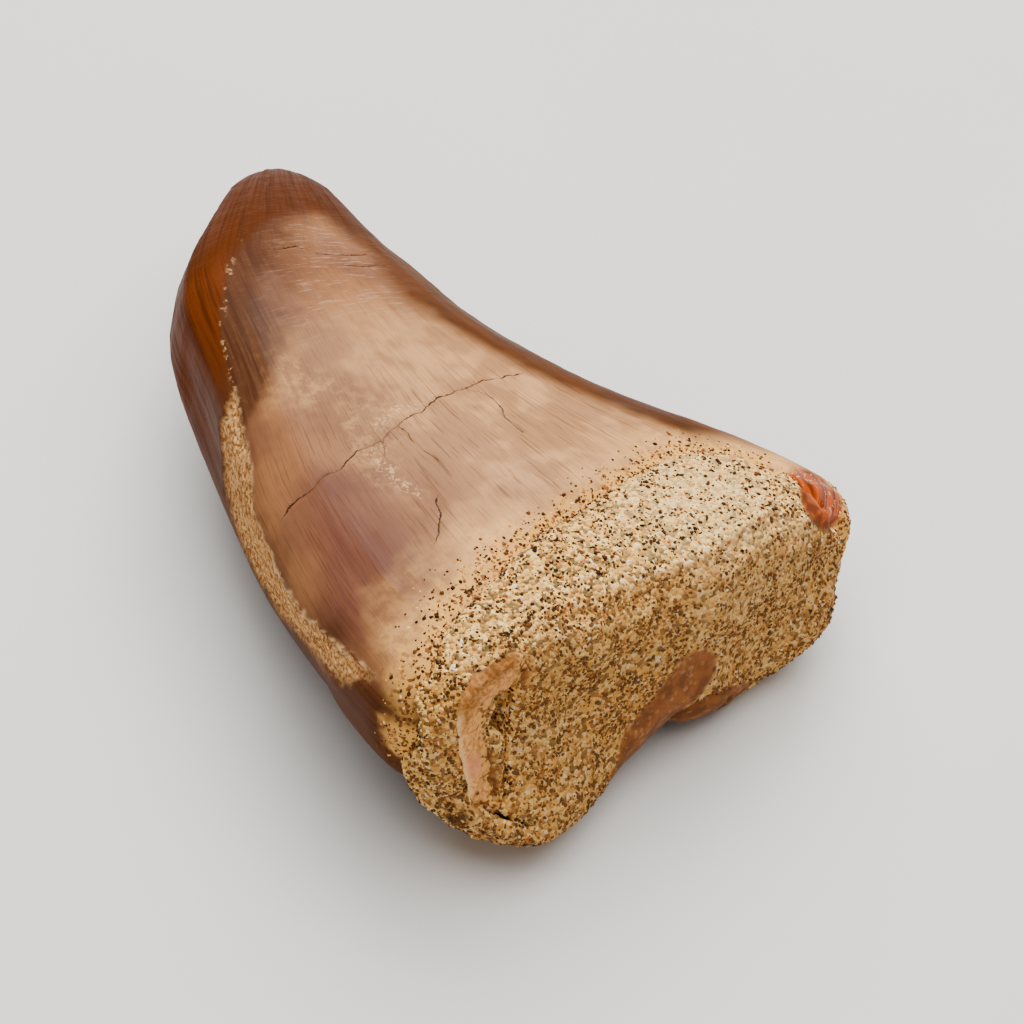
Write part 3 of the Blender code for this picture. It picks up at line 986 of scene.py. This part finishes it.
@dataclass
class EnamelCrown:
    """The enamel crown: its fine surface, worn edges, cracks and colours."""

    guide: CrownGuide
    marks: Landmarks
    finish: EnamelFinish
    spacing: float = 0.37
    smoothing: int = 7
    flake_depth: float = 0.22
    crack_half_width: float = 0.11
    crack_depth: float = 0.07
    crack_near: float = 0.35
    concave_fullness: float = 0.35
    wall_level: Spot = (22.8, -0.1, -0.17)
    wall_from: Spot = (0.0, -12.8, 12.0)

    def build(self, shared: SharedEffects) -> bpy.types.Object:
        """Make the piece.

        Args:
            shared: The groups that several finishes use.

        Returns:
            The crown, in place and dressed.
        """
        piece = MeshWork.fine_copy(Solid.CROWN, "enamel_crown", self.spacing, self.smoothing)
        MeshWork.refine(piece, MeshWork.normals(piece)[:, 2] > -0.2)
        MeshWork.relax(piece, 3)
        cracks = [self.torn(MeshWork.laid_on(piece, line)) for line in self.marks.cracks]
        MeshWork.refine(piece, self.off_cracks(MeshWork.points(piece), cracks) < self.crack_near)
        self.bring_wall_out(piece)
        points = MeshWork.points(piece)
        normals = MeshWork.normals(piece)
        masks = self.masks(points, normals, cracks)
        moved = points + normals * self.relief(points, masks)[:, None]
        moved[:, 2] = np.maximum(moved[:, 2], 0.0)
        MeshWork.put(piece, moved)
        for name, values in masks.items():
            MeshWork.keep(piece, name, values)
        MeshWork.keep(piece, "way", self.guide.way(points))
        piece.data.materials.append(self.finish.material(shared))
        piece.data.shade_smooth()
        return piece

    @staticmethod
    def torn(line: Line) -> Line:
        """Make a laid line wander from side to side as a crack does."""
        points = np.array(line)
        shifts = [ripple(points + step, 0.9) for step in (5.0, 31.0, 67.0)]
        return tuple(map(tuple, points + 0.22 * np.stack(shifts, 1)))

    @staticmethod
    def off_cracks(points: np.ndarray, cracks: list[Line]) -> np.ndarray:
        """Distance from each point to the nearest crack, in millimetres."""
        return np.min([off_line(points, line) for line in cracks], axis=0)

    @staticmethod
    def beside(points: np.ndarray, normals: np.ndarray, cracks: list[Line]) -> np.ndarray:
        """Distance from the nearest crack, with a sign for the side that each point is on.

        Args:
            points: The surface's points, in millimetres.
            normals: The outward direction at each point.
            cracks: The cracks, laid on the surface.

        Returns:
            One signed distance a point, in millimetres.
        """
        nearest = np.full(len(points), np.inf)
        signed = np.full(len(points), np.inf)
        for line in cracks:
            for start, end in zip(line, line[1:]):
                first = np.array(start)
                run = np.array(end) - first
                apart = points - first
                share = np.clip((apart @ run) / (run @ run), 0.0, 1.0)
                reach = np.linalg.norm(apart - share[:, None] * run, axis=1)
                side = np.sign(np.einsum("ij,ij->i", np.cross(run, apart), normals))
                closer = reach < nearest
                nearest = np.where(closer, reach, nearest)
                signed = np.where(closer, reach * side, signed)
        return signed

    def bring_wall_out(self, piece: bpy.types.Object) -> None:
        """Bring the end of the crown's wall out to the face of the sand round it."""
        points = MeshWork.points(piece)
        faces_back = MeshWork.normals(piece)[:, 0] > 0.1
        level, slope_y, slope_z = self.wall_level
        _, from_y, from_z = self.wall_from
        inward = np.maximum(points[:, 1] - from_y, 0.0)
        target = level + slope_y * inward + slope_z * (points[:, 2] - from_z)
        target -= 0.15 * ease((self.marks.off_wall_rim(points) - 0.3) / 1.2)
        target += 0.12 * ripple(points, 0.7, 2)
        near = ease((self.marks.wall_reach + 0.3 - self.marks.off_wall(points)) / 0.35)
        share = near * faces_back * (points[:, 0] > 19.5)
        points[:, 0] += share * np.maximum(target - points[:, 0], 0.0)
        MeshWork.put(piece, points)

    def masks(
        self, points: np.ndarray, normals: np.ndarray, cracks: list[Line]
    ) -> dict[str, np.ndarray]:
        """Work out where each kind of surface lies.

        Args:
            points: The surface's points, in millimetres.
            normals: The outward direction at each point.
            cracks: The cracks, laid on the surface.

        Returns:
            One value a point, from 0 to 1, for each kind of surface.
        """
        marks = self.marks
        x = points[:, 0]
        turn = self.guide.turn(points)
        way = self.guide.way(points)
        broad = ripple(points, 4.0, 2)
        fine = ripple(points, 0.9, 2)
        tiny = ripple(points, 0.4)
        streak = ripple(way * np.array([0.8, 0.8, 0.12]), 1.0, 2)
        split = self.beside(points, normals, cracks)
        beyond = self.guide.past(points, marks.convex_line)
        inside = beyond + 0.3 * fine + 0.15 * tiny
        foot = np.array(marks.flake_foot)
        above = points[:, 2] - np.interp(x, foot[:, 0], foot[:, 1]) + 0.7 * broad + 0.6 * fine
        ends = ease((x - foot[0, 0] + 0.8 * fine) / 0.8) * ease((foot[-1, 0] - x) / 1.5)
        width = np.array(marks.shade_width)
        shade_end = np.interp(x, width[:, 0], width[:, 1]) + 1.3 * broad + 0.4 * streak
        shade = ease((shade_end + 2.5 + beyond + 0.6 * fine) / 5.0) * ease(2.0 - beyond)
        within = self.guide.past(points, marks.concave_line) + 0.5 * broad + 0.2 * fine
        belly = ease((self.guide.gap(points, marks.concave_line) + 178.0) / 30.0)
        edge = ease((1.9 - within) / 2.0) * belly
        edge *= np.maximum(ease((13.5 - x + 2.0 * broad) / 4.0), ease((-2.5 - within + broad) / 3.5))
        crust = off_line(points, marks.crust_edge)
        chips = np.min([off_line(points, line) for line in marks.chipped_lines], axis=0)
        reach = 1.5 + 0.5 * ease((-13.0 - points[:, 1]) / 2.0)
        tip_end = -14.2 + 3.0 * ease((beyond + 2.5) / 2.5) * (turn < 345.0)
        gold = ease((reach + 0.8 * fine + 0.4 * tiny - crust) / 1.5)
        gold = np.maximum(gold, marks.right_corner(points))
        behind = points * np.array([0.0, 1.0, 1.0])
        wall_side = marks.off_wall(points) + 10.0 * (x < 20.5)
        past_rim = marks.off_wall_rim(points)
        return {
            "split": split,
            "crack": bell(split, self.crack_half_width),
            "split_near": ease((0.5 - np.abs(split)) / 0.2),
            "flake": ease((inside + 0.1) / 0.25) * ease(above / 1.6) * ends,
            "rim": bell(inside + 0.12, 0.14) * ends,
            # ridge: pale nicks and a painted highlight along the carina
            "ridge": bell(beyond + 0.15 * fine, 0.16) * ease((-2.0 - x) / 2.0),
            "flank": ease((beyond + 0.2 * fine + 0.2) / 0.7) * (1.0 - gold),
            "late": ease((x + 9.5 + 3.0 * broad + 2.0 * streak) / 10.0),
            "shade": shade,
            # edge: where the painted dark reflection along the concave edge lies
            "edge": edge * (1.0 - gold),
            "tip": ease((tip_end - x + 0.8 * broad + 0.5 * streak) / 3.2),
            # light: where the painted sheen lies on the face
            "light": ease((points[:, 1] + 13.0 + 3.0 * broad) / 12.0) * ease((x + 10.0) / 10.0),
            "bed": ease((4.2 + 1.8 * broad + 0.6 * fine - crust) / 4.0),
            "gold": gold,
            "stain": ease((4.0 + 1.2 * broad - off_line(points, marks.stain_line)) / 3.0),
            "etch": ease((2.8 + 1.6 * broad + 0.8 * fine - off_line(points, marks.etch_line)) / 2.6),
            "nicks": bell(chips + 0.3 * fine, 0.35),
            "wrinkle": ease((-2.0 - x) / 6.0),
            "hair": ease((x + 1.0) / 4.0) * 0.36 + 0.14,
            "smudge": bell(off_spot(points, marks.smudge_spot) + 0.3 * fine, 1.3),
            "wall": ease((marks.wall_reach + 1.0 - wall_side) / 0.4),
            # wall_rim: painted highlight on the wall end's outer rim
            "wall_rim": 0.9 * bell(past_rim, 0.2) * (x > 20.5) * ease(13.2 - points[:, 2]),
            # wall_arc: painted shade in the wall end's top arc
            "wall_arc": bell(off_line(behind, marks.wall_arc) + 0.2 * fine, 0.55),
            "wall_sand": ease((past_rim - 1.0 + 0.5 * fine + 0.4 * tiny) / 0.5),
            "blush": ease((1.15 + 0.3 * fine - off_spot(points, marks.blush_spot)) / 0.8),
            "chip": ease((2.3 + 0.3 * fine - off_spot(points, marks.chip_spot)) / 0.4),
            "gloss": ease((x + 17.0) / 5.0) * ease((-beyond - 1.0) / 3.0) * ease(within / 2.0),
            "full": bell(within + 1.5, 2.5) * ease((12.0 - x) / 4.0) * ease((x + 24.0) / 4.0),
        }

    def relief(self, points: np.ndarray, masks: dict[str, np.ndarray]) -> np.ndarray:
        """Work out how far each point stands out from the plain crown.

        Args:
            points: The surface's points, in millimetres.
            masks: Where each kind of surface lies.

        Returns:
            One height a point, in millimetres.
        """
        way = self.guide.way(points)
        folds = ripple(way * np.array([0.4, 0.4, 0.08]), 1.0, 2)
        striae = ripple(way * np.array([1.5, 1.5, 0.14]), 1.0, 2)
        wrinkles = ripple(way * np.array([0.2, 0.2, 1.3]), 1.0, 2)
        lift = 0.055 * folds + 0.018 * striae + 0.022 * wrinkles * masks["wrinkle"]
        rough = ripple(points, 0.8, 3)
        lift -= masks["flake"] * (self.flake_depth + 0.14 * rough)
        lift += 0.06 * masks["rim"]
        lift -= self.crack_depth * masks["crack"]
        lift -= 0.05 * masks["nicks"] * ease(0.5 + rough)
        lift += self.concave_fullness * masks["full"]
        lift -= 0.02 * masks["etch"] * ease(rough / 0.3)
        facets = cells(points, 1.1)
        lift += masks["chip"] * (0.18 * facets - 0.25)
        return lift


@dataclass
class SandyMatrix:
    """The cemented sand that fills the hollow and wraps over the rim of the base."""

    marks: Landmarks
    finish: SandFinish
    spacing: float = 0.15
    smoothing: int = 5
    overlap: float = 0.2
    lump_height: float = 0.12
    clod_height: float = 0.09
    grain_height: float = 0.09
    plugs: tuple[tuple[Spot, Spot], ...] = (
        ((22.3, -11.6, 8.6), (1.0, 0.9, 1.6)),
        ((22.7, -11.7, 6.9), (1.0, 0.9, 1.6)),
        ((22.9, -11.9, 5.9), (1.0, 1.0, 1.3)),
        ((21.2, 3.6, 3.1), (0.9, 2.1, 1.3)),
    )

    def build(self, shared: SharedEffects) -> bpy.types.Object:
        """Make the piece.

        Args:
            shared: The groups that several finishes use.

        Returns:
            The matrix, in place and dressed.
        """
        piece = MeshWork.fine_copy(
            Solid.MATRIX, "matrix_mass", self.spacing, self.smoothing, self.plugs
        )
        points = MeshWork.points(piece)
        normals = MeshWork.normals(piece)
        bare = 1.0 - self.marks.clear_of_sand(points)
        lumps = ripple(points, 2.4, 2)
        clods = ripple(points, 0.8, 2)
        grains = 0.45 - cells(points, 0.27)
        lift = self.overlap + self.lump_height * lumps
        lift += (1.0 - bare) * (self.clod_height * clods + self.grain_height * grains)
        lift -= 0.4 * ease((1.2 - off_line(points, self.marks.wall_line)) / 0.6)
        moved = points + normals * lift[:, None]
        moved[:, 2] = np.maximum(moved[:, 2], 0.0)
        MeshWork.put(piece, moved)
        MeshWork.keep(piece, "bare", bare)
        # Painted light round the brightest lit spot of the crust's top.
        bright = bell(off_spot(points, self.marks.bright_spot), 5.5)
        chip = ease((1.5 + 0.4 * clods - off_spot(points, self.marks.chip_foot)) / 0.3)
        MeshWork.keep(piece, "chip", chip)
        # light: painted light where the faces look up
        MeshWork.keep(piece, "light", ease((normals[:, 2] - 0.75) / 0.25))
        MeshWork.keep(piece, "bright", 0.4 * bright)
        # base: painted shade where the faces point +X
        MeshWork.keep(piece, "base", 0.45 * ease((normals[:, 0] - 0.3 + 0.15 * lumps) / 0.4))
        # Painted shade in the pit on the base's lower edge.
        pit_shade = ease((0.9 + 0.3 * clods - off_spot(points, self.marks.pit_spot)) / 0.5)
        MeshWork.keep(piece, "pit_shade", 0.85 * pit_shade)
        piece.data.materials.append(self.finish.material(shared))
        piece.data.shade_smooth()
        return piece


@dataclass
class SandGrains:
    """Separate grains: half sunk in the matrix, and thinning out over the enamel."""

    marks: Landmarks
    finish: SandFinish
    kind: GrainKind
    on_matrix: int
    on_crown: int
    smallest: float
    largest: float
    seed: int
    reach_out: float = 1.2
    sunk: float = 0.3

    def build(
        self, matrix: bpy.types.Object, crown: bpy.types.Object, shared: SharedEffects
    ) -> bpy.types.Object:
        """Make all the grains of one sort as one joined mesh.

        Args:
            matrix: The cemented mass that carries most of them.
            crown: The crown, whose enamel carries the rest.
            shared: The groups that several finishes use.

        Returns:
            The grains, in place and dressed.
        """
        draw = np.random.default_rng(self.seed)
        spots, ups = self.scatter(matrix, self.on_matrix, draw, self.open_to_air(matrix, crown))
        more, more_ups = self.scatter(crown, self.on_crown, draw, self.close_to_edge(crown))
        piece = self.joined(np.vstack([spots, more]), np.vstack([ups, more_ups]), draw)
        piece.data.materials.append(self.finish.grain_material(self.kind, shared))
        return piece

    def open_to_air(self, matrix: bpy.types.Object, crown: bpy.types.Object) -> np.ndarray:
        """Weigh the matrix's triangles: none where they are buried or bare."""
        corners = MeshWork.triangles(matrix)
        middles = corners.mean(axis=1)
        across = np.cross(corners[:, 1] - corners[:, 0], corners[:, 2] - corners[:, 0])
        across /= np.linalg.norm(across, axis=1)[:, None] + 1e-12
        tree = MeshWork.tree(crown)
        shown = np.zeros(len(middles))
        for index, spot in enumerate((middles + 0.35 * across) * MM):
            where, normal, _, _ = tree.find_nearest(Vector(spot))
            shown[index] = (Vector(spot) - where).dot(normal) > 0.0
        clumps = 0.35 + ease(0.5 + 1.2 * ripple(middles, 1.6, 2))
        if self.kind is GrainKind.DARK:
            # Fewer dark grains in the painted light on the crust's top.
            clumps *= 1.0 - 0.6 * bell(off_spot(middles, self.marks.bright_spot), 5.5)
        return shown * clumps * self.marks.clear_of_sand(middles)

    def close_to_edge(self, crown: bpy.types.Object) -> np.ndarray:
        """Weigh the crown's triangles by how close they are to the crust's edge."""
        middles = MeshWork.triangles(crown).mean(axis=1)
        near = bell(off_line(middles, self.marks.crust_edge), self.reach_out)
        near = np.maximum(near, 0.6 * self.marks.right_corner(middles))
        return near * self.marks.clear_of_sand(middles)

    @staticmethod
    def scatter(
        piece: bpy.types.Object, count: int, draw: np.random.Generator, weight: np.ndarray
    ) -> tuple[np.ndarray, np.ndarray]:
        """Pick places on a piece's surface.

        Args:
            piece: The piece that carries the grains.
            count: How many places.
            draw: The source of chance.
            weight: How likely each triangle is, for each unit of its area.

        Returns:
            The places in millimetres, and the outward direction at each.
        """
        corners = MeshWork.triangles(piece)
        across = np.cross(corners[:, 1] - corners[:, 0], corners[:, 2] - corners[:, 0])
        size = np.linalg.norm(across, axis=1)
        share = size * weight
        picked = draw.choice(len(share), count, p=share / share.sum())
        first = np.sqrt(draw.random(count))[:, None]
        second = draw.random(count)[:, None]
        chosen = corners[picked]
        spots = (1.0 - first) * chosen[:, 0]
        spots += first * (1.0 - second) * chosen[:, 1]
        spots += first * second * chosen[:, 2]
        return spots, across[picked] / (size[picked][:, None] + 1e-12)

    def joined(
        self, spots: np.ndarray, ups: np.ndarray, draw: np.random.Generator
    ) -> bpy.types.Object:
        """Copy one rough grain to every place, each turned and sized its own way.

        Args:
            spots: The places, in millimetres.
            ups: The outward direction at each place.
            draw: The source of chance.

        Returns:
            One mesh of all the grains.
        """
        bpy.ops.object.select_all(action="DESELECT")
        bpy.ops.mesh.primitive_ico_sphere_add(subdivisions=1, radius=1.0)
        pattern = bpy.context.active_object
        shape = np.array([corner.co for corner in pattern.data.vertices])
        faces = np.array([face.vertices[:] for face in pattern.data.polygons])
        bpy.data.objects.remove(pattern)
        count = len(spots)
        reach = self.smallest + (self.largest - self.smallest) * draw.random(count) ** 2.2
        sizes = reach[:, None] * (0.65 + 0.5 * draw.random((count, 3)))
        turns = np.linalg.qr(draw.normal(size=(count, 3, 3)))[0]
        dents = 1.0 + 0.2 * draw.normal(size=(count, len(shape), 1)).clip(-1.5, 1.5)
        grains = (shape[None] * dents * sizes[:, None]) @ turns
        grains += (spots - ups * reach[:, None] * self.sunk)[:, None]
        grains[:, :, 2] = np.maximum(grains[:, :, 2], 0.01)
        which = faces[None] + (np.arange(count) * len(shape))[:, None, None]
        corners = (grains.reshape(-1, 3) * MM).tolist()
        mesh = bpy.data.meshes.new(self.kind.value)
        mesh.from_pydata(corners, [], which.reshape(-1, 3).tolist())
        piece = bpy.data.objects.new(self.kind.value, mesh)
        bpy.context.scene.collection.objects.link(piece)
        MeshWork.alone(piece)
        bpy.ops.object.mode_set(mode="EDIT")
        bpy.ops.mesh.select_all(action="SELECT")
        bpy.ops.mesh.normals_make_consistent(inside=False)
        bpy.ops.object.mode_set(mode="OBJECT")
        MeshWork.keep(piece, "tone", np.repeat(draw.random(count), len(shape)))
        # Painted shade on grains that face +X.
        base = 0.4 * ease((ups[:, 0] - 0.35) / 0.4)
        MeshWork.keep(piece, "base", np.repeat(base, len(shape)))
        return piece


@dataclass
class Studio:
    """A pale floor, soft lights and the camera."""

    camera_place: Spot = (193.67, -124.76, 244.73)
    aim: Spot = (6.71, 0.15, 7.0)
    roll: float = 1.685
    lens: float = 200.2
    floor: Colour = paint(222, 219, 213)
    surround_strength: float = 0.15

    def build(self, shared: SharedEffects) -> None:
        """Set up the floor, the lights, the surroundings and the camera."""
        self.lay_floor(shared)
        self.light("sheen_light", (-330.0, 230.0, 430.0), 460.0, 5.4)
        self.light("top_light", (60.0, 40.0, 620.0), 700.0, 7.0)
        self.light("front_light", (300.0, -420.0, 260.0), 500.0, 0.5)
        self.surround()
        self.set_camera()

    def lay_floor(self, shared: SharedEffects) -> None:
        """Lay the floor."""
        bpy.ops.object.select_all(action="DESELECT")
        bpy.ops.mesh.primitive_plane_add(size=6.0)
        floor = bpy.context.active_object
        floor.name = "pale_floor"
        weave = MaterialWeave("pale_floor")
        place = weave.place()
        drift = weave.use(shared.drift, Place=place, Scale=40.0).outputs["Share"]
        share = weave.number("MULTIPLY", drift, 0.05)
        colour = weave.blend(share, self.floor, (1.0, 1.0, 1.0, 1.0))
        normal = weave.bump(weave.noise(place, 900.0), 0.05, 0.2)
        floor.data.materials.append(weave.finish(colour, 0.9, normal))

    @staticmethod
    def light(name: str, place: Spot, size: float, power: float) -> None:
        """Hang one soft square light that faces the tooth.

        Args:
            name: The light's name.
            place: Where it hangs, in millimetres.
            size: The length of its sides, in millimetres.
            power: Its power in watts.
        """
        data = bpy.data.lights.new(name, "AREA")
        data.shape = "SQUARE"
        data.size = size * MM
        data.energy = power
        lamp = bpy.data.objects.new(name, data)
        bpy.context.scene.collection.objects.link(lamp)
        lamp.location = Vector(place) * MM
        lamp.rotation_euler = (-lamp.location).to_track_quat("-Z", "Y").to_euler()

    def surround(self) -> None:
        """Fill the surroundings with soft pale light."""
        world = bpy.data.worlds.new("soft_surroundings")
        world.use_nodes = True
        background = world.node_tree.nodes["Background"]
        background.inputs["Color"].default_value = (0.95, 0.96, 1.0, 1.0)
        background.inputs["Strength"].default_value = self.surround_strength
        bpy.context.scene.world = world

    def set_camera(self) -> None:
        """Set the camera at the tooth's viewing angle."""
        data = bpy.data.cameras.new("camera")
        data.lens = self.lens
        data.sensor_width = 36.0
        data.clip_start = 0.01
        data.clip_end = 20.0
        camera = bpy.data.objects.new("camera", data)
        bpy.context.scene.collection.objects.link(camera)
        place = Vector(self.camera_place) * MM
        look = (Vector(self.aim) * MM - place).to_track_quat("-Z", "Y").to_matrix()
        turned = look @ Matrix.Rotation(radians(self.roll), 3, "Z")
        camera.matrix_world = Matrix.Translation(place) @ turned.to_4x4()
        bpy.context.scene.camera = camera


def hand_over(piece: bpy.types.Object, stands_for: Solid | None = None) -> None:
    """Attach a piece to the body it rides on, hide the solid that it stands for, and log its triangles.

    Args:
        piece: The finished piece.
        stands_for: The solid that it stands for, if any.
    """
    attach(piece, BODY)
    if stands_for is not None:
        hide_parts(stands_for.value)
    piece.data.calc_loop_triangles()
    LOG.info("%s: %d triangles", piece.name, len(piece.data.loop_triangles))


def main() -> None:
    """Build the tooth's pieces and its studio."""
    logging.basicConfig(level=logging.INFO, format="%(message)s")
    shared = SharedEffects()
    marks = Landmarks()
    sand = SandFinish()
    Studio().build(shared)
    crown = EnamelCrown(CrownGuide(), marks, EnamelFinish()).build(shared)
    hand_over(crown, Solid.CROWN)
    matrix = SandyMatrix(marks, sand).build(shared)
    hand_over(matrix, Solid.MATRIX)
    for grains in (
        SandGrains(marks, sand, GrainKind.PALE, 5200, 700, 0.05, 0.14, 11),
        SandGrains(marks, sand, GrainKind.DARK, 8300, 1300, 0.07, 0.17, 23),
    ):
        hand_over(grains.build(matrix, crown, shared))


if __name__ == "__main__":
    main()
